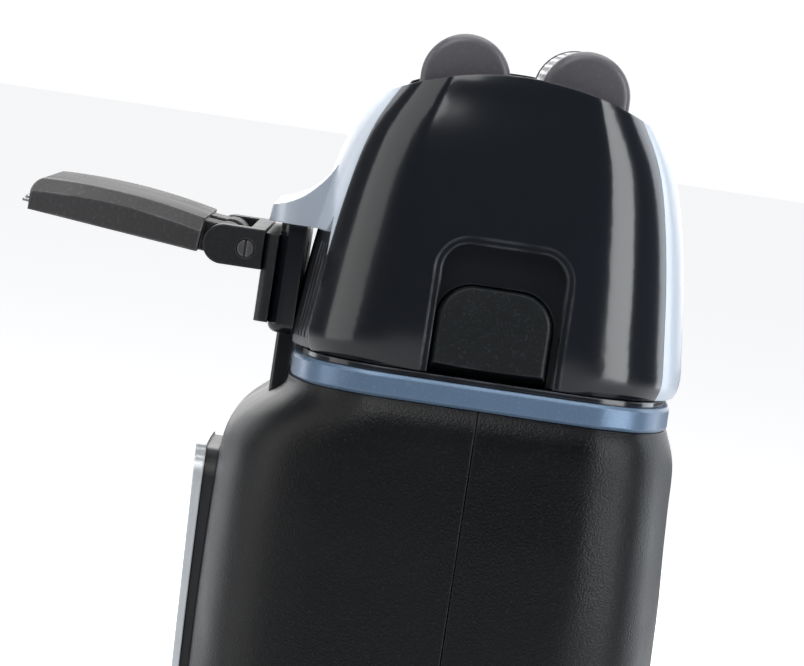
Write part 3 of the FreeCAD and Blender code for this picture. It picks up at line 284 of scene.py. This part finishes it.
finishes = {
    "body_black": {"colour": (0.0016, 0.0020, 0.0030), "roughness": 0.34, "ior": 1.34, "grainScale": 4400.0,
                   "coarse": 0.05, "bump": 0.8, "depth": 0.00006, "speckle": 0.4,
                   "speckleColour": (0.02, 0.022, 0.027), "wearAndHighlight": 0.3},
    "gloss_black": {"colour": (0.0085, 0.0105, 0.0145), "roughness": 0.16, "ior": 1.42, "grainScale": 900.0,
                    "bump": 0.04, "speckle": 0.05, "wearAndHighlight": 0.85, "wearAndHighlightColour": (0.13, 0.14, 0.16),
                    "smudgeScale": 45.0, "Coat Weight": 0.3, "Coat Roughness": 0.08},
    "soft_grip": {"colour": (0.009, 0.0095, 0.0115), "roughness": 0.68, "grainScale": 2200.0, "bump": 0.8,
                  "depth": 0.0001, "coarse": 0.7, "speckle": 0.3, "wearAndHighlight": 0.2, "Sheen Weight": 0.15},
    "silver_shell": {"colour": (0.50, 0.565, 0.65), "roughness": 0.32, "grainScale": 5200.0, "bump": 0.08,
                     "speckle": 0.35, "speckleColour": (0.55, 0.61, 0.69), "shade": 0.93, "metallic": 0.25,
                     "Coat Weight": 0.2, "Coat Roughness": 0.15, "wearAndHighlight": 0.3, "wearAndHighlightColour": (0.6, 0.64, 0.69)},
    "ring_blue": {"colour": (0.125, 0.20, 0.31), "roughness": 0.3, "grainScale": 4200.0, "bump": 0.08,
                  "metallic": 0.3, "speckle": 0.25, "wearAndHighlight": 0.4, "wearAndHighlightColour": (0.34, 0.42, 0.50)},
    "panel_rim": {"colour": (0.84, 0.89, 0.94), "roughness": 0.2, "grainScale": 3000.0, "bump": 0.05,
                  "metallic": 0.25, "speckle": 0.05, "wearAndHighlight": 0.2, "shade": 0.93},
    "panel_insert": {"colour": (0.004, 0.0045, 0.006), "roughness": 0.2, "ior": 1.34, "grainScale": 900.0,
                     "bump": 0.03, "speckle": 0.04, "wearAndHighlight": 0.5},
    "panel_backing": {"colour": (0.03, 0.031, 0.034), "roughness": 0.4, "grainScale": 2500.0, "bump": 0.3},
    "button_face": {"colour": (0.075, 0.079, 0.09), "roughness": 0.36, "grainScale": 2500.0, "bump": 0.2,
                    "speckle": 0.2, "wearAndHighlight": 0.6, "wearAndHighlightColour": (0.16, 0.165, 0.18)},
    "window": {"colour": (0.02, 0.022, 0.028), "roughness": 0.08, "grainScale": 900.0, "bump": 0.02,
               "speckle": 0.02, "Coat Weight": 0.5, "Coat Roughness": 0.04, "Transmission Weight": 0.6},
    "foil_steel": {"colour": (0.48, 0.48, 0.50), "roughness": 0.26, "grainScale": 4000.0, "bump": 0.1,
                   "metallic": 1.0, "brushed": (60.0, 5000.0, 5000.0), "speckle": 0.05, "wearAndHighlight": 0.0},
    "foil_cap": {"colour": (0.105, 0.10, 0.112), "roughness": 0.38, "grainScale": 2600.0, "bump": 0.25,
                 "speckle": 0.2, "wearAndHighlight": 0.6, "wearAndHighlightColour": (0.17, 0.165, 0.18)},
    "blade_steel": {"colour": (0.52, 0.52, 0.54), "roughness": 0.24, "grainScale": 3800.0, "bump": 0.15,
                    "metallic": 1.0, "brushed": (4000.0, 120.0, 4000.0), "speckle": 0.08, "wearAndHighlight": 0.3},
    "screw_steel": {"colour": (0.20, 0.20, 0.21), "roughness": 0.34, "grainScale": 3600.0, "bump": 0.15,
                    "metallic": 1.0, "brushed": (3000.0, 3000.0, 300.0), "speckle": 0.1, "wearAndHighlight": 0.6},
    "release_pad": {"colour": (0.0036, 0.0055, 0.0068), "roughness": 0.45, "ior": 1.4, "grainScale": 3600.0,
                    "bump": 0.5, "depth": 0.00006, "speckle": 0.6, "speckleColour": (0.03, 0.036, 0.045),
                    "wearAndHighlight": 0.9, "wearAndHighlightColour": (0.09, 0.10, 0.115)},
    "arm_grey": {"colour": (0.044, 0.041, 0.043), "roughness": 0.55, "ior": 1.42, "grainScale": 2600.0,
                 "bump": 0.35, "depth": 0.00006, "speckle": 0.45, "wearAndHighlight": 0.9, "wearAndHighlightColour": (0.30, 0.31, 0.32)},
    "mount_black": {"colour": (0.0045, 0.0053, 0.0085), "roughness": 0.4, "grainScale": 2400.0, "bump": 0.6,
                    "depth": 0.00008, "speckle": 0.5, "speckleColour": (0.022, 0.025, 0.033), "wearAndHighlight": 0.8,
                    "wearAndHighlightColour": (0.10, 0.105, 0.12)},
    "inner_grey": {"colour": (0.08, 0.08, 0.085), "roughness": 0.55, "grainScale": 2000.0, "bump": 0.4},
    "drive_white": {"colour": (0.58, 0.56, 0.52), "roughness": 0.45, "grainScale": 2000.0, "bump": 0.25,
                    "shade": 0.9},
    "seal_rubber": {"colour": (0.012, 0.012, 0.013), "roughness": 0.75, "grainScale": 1800.0, "bump": 0.5},
    "board_green": {"colour": (0.012, 0.085, 0.03), "roughness": 0.3, "grainScale": 1200.0, "bump": 0.1},
    "component_black": {"colour": (0.014, 0.014, 0.014), "roughness": 0.5, "grainScale": 2500.0, "bump": 0.3},
    "battery_wrap": {"colour": (0.02, 0.10, 0.055), "roughness": 0.3, "grainScale": 700.0, "bump": 0.1},
    "contact_gold": {"colour": (0.75, 0.55, 0.24), "roughness": 0.22, "grainScale": 3000.0, "bump": 0.1,
                     "metallic": 1.0, "brushed": (3000.0, 3000.0, 200.0), "wearAndHighlight": 0.4},
    "magnet_dark": {"colour": (0.05, 0.05, 0.055), "roughness": 0.5, "grainScale": 2500.0, "bump": 0.5,
                    "metallic": 0.6},
    "spring_steel": {"colour": (0.45, 0.45, 0.47), "roughness": 0.25, "grainScale": 3000.0, "bump": 0.1,
                     "metallic": 1.0, "brushed": (2000.0, 2000.0, 2000.0)},
}
materials = {name: makeFinish(name + "_finish", finish) for name, finish in finishes.items()}
print("stage: finishes,", len(materials))

# CAD parts: the hidden ones keep their mesh, the visible ones get a merged, smooth-shaded copy
hiddenParts = {"motor_can", "motor_bush", "motor_end_cap", "motor_magnets", "motor_rotor", "eccentric_cam",
               "inner_chassis", "battery_cell", "battery_tabs", "circuit_board", "board_components", "tact_switch",
               "deck_seal"}
foilParts = {"front_foil", "rear_foil"}
shading = {"mergeDistance": 0.000004, "sharpAngle": math.radians(28)}


def finishObject(obj, slotName):
    obj.data.materials.clear()
    obj.data.materials.append(materials[slotName])


def smoothCopy(nodeName, name, side=0):
    # side -1 or 1 keeps only the front or the rear half of a node that holds one item on each
    source = nodes[nodeName]
    mesh = source.data.copy()
    mesh.name = name + "_shape"
    work = bmesh.new()
    work.from_mesh(mesh)
    bmesh.ops.remove_doubles(work, verts=work.verts, dist=shading["mergeDistance"])
    if side:
        bmesh.ops.delete(work, geom=[v for v in work.verts if v.co.y * side < 0], context="VERTS")
    for face in work.faces:
        face.smooth = True
    for edge in work.edges:
        if len(edge.link_faces) == 2:
            edge.smooth = edge.calc_face_angle(0.0) < shading["sharpAngle"]
    work.to_mesh(mesh)
    work.free()
    if mesh.attributes.get("custom_normal"):
        mesh.attributes.remove(mesh.attributes["custom_normal"])
    copy = bpy.data.objects.new(name, mesh)
    scene.collection.objects.link(copy)
    finishObject(copy, slotOf[nodeName])
    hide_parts(nodeName)
    return copy


# each spring is listed with the body at its foot and the part that presses its top; the copy below stays where it
# is and follows neither
springPieces = {
    # name: node, half of the node, body at the foot, body at the top
    "frontFoilSprings": ("front_foil_springs", 0, "head", "front_foil_unit"),
    "rearFoilSprings": ("rear_foil_springs", 0, "head", "rear_foil_unit"),
    "frontCutterSpring": ("cutter_springs", -1, "oscillator", "front_cutter"),
    "rearCutterSpring": ("cutter_springs", 1, "oscillator", "rear_cutter"),
    "driveLeafSprings": ("drive_leaf_springs", 0, "handle", "oscillator"),
}
springNodes = {piece[0] for piece in springPieces.values()}

skins = {}
for nodeName, node in nodes.items():
    if nodeName in hiddenParts:
        finishObject(node, slotOf[nodeName])
    elif nodeName not in foilParts | springNodes:
        skins[nodeName] = smoothCopy(nodeName, nodeName + "_skin")
        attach(skins[nodeName], bodyOf[nodeName])
print("stage: CAD parts dressed,", len(skins), "skins")

for name, (nodeName, side, foot, top) in springPieces.items():
    spring = smoothCopy(nodeName, name, side)
    low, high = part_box(nodeName)
    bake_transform(spring)
print("stage: springs,", len(springPieces))

# perforated foils: a hexagonal lattice of ringed cells bent over the cutter
foilShape = {"pitch": 0.00095, "holeShare": 0.62, "thickness": 0.00012, "edge": 0.0012, "lap": 0.0012,
             "hemGap": 0.0012, "cellSides": 6, "holeSides": 12, "weld": 0.00001}


def foilTree():
    tree = bpy.data.node_groups.new("perforatedFoil", "GeometryNodeTree")
    for label, kind in (("Geometry", "NodeSocketGeometry"), ("Radius", floatSocket), ("Length", floatSocket),
                        ("Arc", floatSocket), ("Pitch", floatSocket), ("Hole Share", floatSocket),
                        ("Axis", vectorSocket), ("Finish", "NodeSocketMaterial")):
        tree.interface.new_socket(label, in_out="INPUT", socket_type=kind)
    tree.interface.new_socket("Geometry", in_out="OUTPUT", socket_type="NodeSocketGeometry")
    source, sink = tree.nodes.new("NodeGroupInput"), tree.nodes.new("NodeGroupOutput")

    def maths(operation, *values):
        node = tree.nodes.new("ShaderNodeMath")
        node.operation = operation
        for index, value in enumerate(values):
            if isinstance(value, (int, float)):
                node.inputs[index].default_value = value
            else:
                tree.links.new(value, node.inputs[index])
        return node.outputs[0]

    give = source.outputs
    rowStep = maths("MULTIPLY", give["Pitch"], math.sqrt(3) / 2)
    columns = maths("ROUND", maths("DIVIDE", give["Length"], give["Pitch"]))
    rows = maths("ROUND", maths("DIVIDE", give["Arc"], rowStep))
    total = maths("MULTIPLY", columns, rows)
    line = addNode(tree, "GeometryNodeMeshLine", [(total, "Count")])
    index = tree.nodes.new("GeometryNodeInputIndex").outputs[0]
    row = maths("FLOOR", maths("DIVIDE", maths("ADD", index, 0.5), columns))
    column = maths("SUBTRACT", index, maths("MULTIPLY", row, columns))
    odd = maths("MODULO", row, 2.0)
    across = maths("MULTIPLY", maths("ADD", maths("SUBTRACT", column, maths("MULTIPLY", columns, 0.5)),
                                     maths("ADD", maths("MULTIPLY", odd, 0.5), 0.25)), give["Pitch"])
    along = maths("MULTIPLY", maths("SUBTRACT", maths("ADD", row, 0.5), maths("MULTIPLY", rows, 0.5)), rowStep)
    spot = addNode(tree, "ShaderNodeCombineXYZ", [(across, "X"), (along, "Y")])
    points = addNode(tree, "GeometryNodeSetPosition",
                     [(line.outputs[0], "Geometry"), (spot.outputs[0], "Position")])
    outerRadius = maths("MULTIPLY", give["Pitch"], 1 / math.sqrt(3))
    outer = addNode(tree, "GeometryNodeCurvePrimitiveCircle", [(outerRadius, "Radius")])
    outer.inputs["Resolution"].default_value = foilShape["cellSides"]
    innerRadius = maths("MULTIPLY", outerRadius, give["Hole Share"])
    inner = addNode(tree, "GeometryNodeCurvePrimitiveCircle", [(innerRadius, "Radius")])
    inner.inputs["Resolution"].default_value = foilShape["holeSides"]
    both = tree.nodes.new("GeometryNodeJoinGeometry")
    tree.links.new(outer.outputs[0], both.inputs[0])
    tree.links.new(inner.outputs[0], both.inputs[0])
    cell = addNode(tree, "GeometryNodeFillCurve", [(both.outputs[0], "Curve")])
    turned = addNode(tree, "GeometryNodeTransform", [(cell.outputs[0], "Geometry")])
    turned.inputs["Rotation"].default_value = (0.0, 0.0, math.radians(30))
    placedCells = addNode(tree, "GeometryNodeInstanceOnPoints",
                          [(points.outputs[0], "Points"), (turned.outputs[0], "Instance")])
    solid = addNode(tree, "GeometryNodeRealizeInstances", [(placedCells.outputs[0], "Geometry")])
    merged = addNode(tree, "GeometryNodeMergeByDistance", [(solid.outputs[0], "Geometry")])
    merged.inputs["Distance"].default_value = foilShape["weld"]
    place = tree.nodes.new("GeometryNodeInputPosition")
    flat = addNode(tree, "ShaderNodeSeparateXYZ", [(place.outputs[0], "Vector")])
    quarter = maths("MULTIPLY", give["Radius"], math.pi / 2)
    limited = maths("MAXIMUM", maths("MINIMUM", flat.outputs["Y"], quarter), maths("MULTIPLY", quarter, -1.0))
    below = maths("ABSOLUTE", maths("SUBTRACT", flat.outputs["Y"], limited))
    angle = maths("DIVIDE", limited, give["Radius"])
    bentY = maths("MULTIPLY", maths("SINE", angle), give["Radius"])
    bentZ = maths("SUBTRACT", maths("MULTIPLY", maths("COSINE", angle), give["Radius"]), below)
    bent = addNode(tree, "ShaderNodeCombineXYZ", [(flat.outputs["X"], "X"), (bentY, "Y"), (bentZ, "Z")])
    onAxis = addNode(tree, "ShaderNodeVectorMath", operation="ADD")
    tree.links.new(bent.outputs[0], onAxis.inputs[0])
    tree.links.new(give["Axis"], onAxis.inputs[1])
    wrapped = addNode(tree, "GeometryNodeSetPosition",
                      [(merged.outputs[0], "Geometry"), (onAxis.outputs[0], "Position")])
    painted = addNode(tree, "GeometryNodeSetMaterial",
                      [(wrapped.outputs[0], "Geometry"), (give["Finish"], "Material")])
    tree.links.new(painted.outputs[0], sink.inputs[0])
    return tree


def bakeTree(name, tree, values):
    carrier = bpy.data.objects.new(name + "_carrier", bpy.data.meshes.new(name + "_carrier"))
    scene.collection.objects.link(carrier)
    modifier = carrier.modifiers.new("shape", "NODES")
    modifier.node_group = tree
    for item in tree.interface.items_tree:
        if item.item_type == "SOCKET" and item.in_out == "INPUT" and item.name in values:
            modifier[item.identifier] = values[item.name]
    graph = bpy.context.evaluated_depsgraph_get()
    mesh = bpy.data.meshes.new_from_object(carrier.evaluated_get(graph))
    carrier.modifiers.remove(modifier)
    bpy.data.objects.remove(carrier)
    made = bpy.data.objects.new(name, mesh)
    scene.collection.objects.link(made)
    return made


perforated = foilTree()
for foilName in sorted(foilParts):
    low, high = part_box(foilName)
    radius = (high[1] - low[1]) / 2
    axis = (0.0, (low[1] + high[1]) / 2, high[2] - radius)
    length = high[0] - low[0] - 2 * foilShape["edge"] + foilShape["lap"]
    arc = math.pi * radius + 2 * (axis[2] - low[2]) - foilShape["hemGap"]
    sheet = bakeTree(foilName + "_sheet", perforated, {
        "Radius": radius - foilShape["thickness"], "Length": length, "Arc": arc, "Pitch": foilShape["pitch"],
        "Hole Share": foilShape["holeShare"], "Axis": axis, "Finish": materials["foil_steel"]})
    thicken = sheet.modifiers.new("thickness", "SOLIDIFY")
    thicken.thickness = foilShape["thickness"]
    thicken.offset = 0.0
    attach(sheet, bodyOf[foilName])
    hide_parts(foilName)
    print("stage: foil", foilName, len(sheet.data.polygons), "faces")

# floor, lamps and camera
stageShape = {"radius": 7.0, "around": 64, "tone": (0.93, 0.935, 0.945), "bounce": 0.7, "lift": 0.93,
              "grainScale": 300.0, "coarse": 0.5, "speckleShade": 0.985, "roughness": 0.9}


def makeStage():
    material = bpy.data.materials.new("palePaper")
    material.use_nodes = True
    tree = material.node_tree
    shader = tree.nodes["Principled BSDF"]
    grain = placeGroup(tree, grainGroup, Scale=stageShape["grainScale"], Coarse=stageShape["coarse"])
    tone = stageShape["tone"]
    bounce = tuple(c * stageShape["bounce"] for c in tone)
    fleck = tuple(c * stageShape["speckleShade"] for c in bounce)
    colour = mixColour(tree, grain.outputs["Speckle"], bounce, fleck)
    tree.links.new(colour, shader.inputs["Base Color"])
    shader.inputs["Roughness"].default_value = stageShape["roughness"]
    # the floor is lifted to paper white for the eye only, so gloss still reflects the dim room
    path = tree.nodes.new("ShaderNodeLightPath")
    lifted = multiply(tree, path.outputs["Is Camera Ray"], stageShape["lift"])
    tree.links.new(lifted, shader.inputs["Emission Strength"])
    shader.inputs["Emission Color"].default_value = (*tone, 1.0)
    mesh = bpy.data.meshes.new("paperFloor")
    work = bmesh.new()
    bmesh.ops.create_circle(work, cap_ends=True, segments=stageShape["around"], radius=stageShape["radius"])
    work.to_mesh(mesh)
    work.free()
    floor = bpy.data.objects.new("paperFloor", mesh)
    scene.collection.objects.link(floor)
    mesh.materials.append(material)


makeStage()

lamps = {
    # name: place, aim, width, height, watts, colour
    "topSoft": ((-0.15, 0.0, 1.1), (0.0, 0.0, 0.1), 1.0, 1.0, 10.0, (1.0, 1.0, 1.0)),
    "leftSoft": ((0.10, -0.75, 0.26), (0.0, 0.0, 0.12), 0.55, 0.9, 2.6, (1.0, 0.995, 0.98)),
    "rightSoft": ((0.30, 0.60, 0.26), (0.0, 0.0, 0.12), 0.26, 0.8, 4.0, (0.96, 0.98, 1.0)),
    "frontHigh": ((0.70, -0.30, 0.80), (0.0, 0.0, 0.12), 0.5, 0.5, 3.6, (1.0, 1.0, 1.0)),
    "rightRim": ((-0.45, 0.50, 0.25), (0.0, 0.0, 0.12), 0.30, 0.7, 1.6, (0.88, 0.93, 1.0)),
    "leftRim": ((-0.55, -0.45, 0.25), (0.0, 0.0, 0.12), 0.25, 0.7, 0.8, (0.92, 0.95, 1.0)),
    "backSoft": ((-0.9, 0.0, 0.5), (0.0, 0.0, 0.1), 0.9, 0.9, 5.0, (1.0, 1.0, 1.0)),
}


def aimed(place, target):
    direction = Vector(target) - Vector(place)
    return direction.to_track_quat("-Z", "Y").to_matrix().to_4x4()


for lampName, (place, target, width, height, watts, colour) in lamps.items():
    lamp = bpy.data.lights.new(lampName, "AREA")
    lamp.shape, lamp.size, lamp.size_y = "RECTANGLE", width, height
    lamp.energy, lamp.color = watts, colour
    lampObject = bpy.data.objects.new(lampName, lamp)
    scene.collection.objects.link(lampObject)
    lampObject.matrix_world = Matrix.Translation(place) @ aimed(place, target)

worldLight = {"tone": (0.965, 0.98, 1.0), "seen": 1.04, "lighting": 0.08}
world = bpy.data.worlds.new("studio")
world.use_nodes = True
skyTree = world.node_tree
backdrop = skyTree.nodes["Background"]
backdrop.inputs["Color"].default_value = (*worldLight["tone"], 1.0)
path = skyTree.nodes.new("ShaderNodeLightPath")
skyStrength = mapRange(skyTree, path.outputs["Is Camera Ray"], 0.0, 1.0, worldLight["lighting"],
                       worldLight["seen"])
skyTree.links.new(skyStrength, backdrop.inputs["Strength"])
scene.world = world
scene.view_settings.view_transform = "Standard"

cameraView = {"place": (0.520, -0.0083, 0.151), "target": (0.030, -0.0083, 0.1232), "roll": 8.5, "lens": 230.4,
              "sensor": 36.0, "nearest": 0.01, "farthest": 50.0}
camera = bpy.data.cameras.new("viewCamera")
camera.lens, camera.sensor_width = cameraView["lens"], cameraView["sensor"]
camera.clip_start, camera.clip_end = cameraView["nearest"], cameraView["farthest"]
cameraObject = bpy.data.objects.new("viewCamera", camera)
scene.collection.objects.link(cameraObject)
cameraObject.matrix_world = (Matrix.Translation(cameraView["place"])
                             @ aimed(cameraView["place"], cameraView["target"])
                             @ Matrix.Rotation(math.radians(cameraView["roll"]), 4, "Z"))
scene.camera = cameraObject
print("stage: studio")
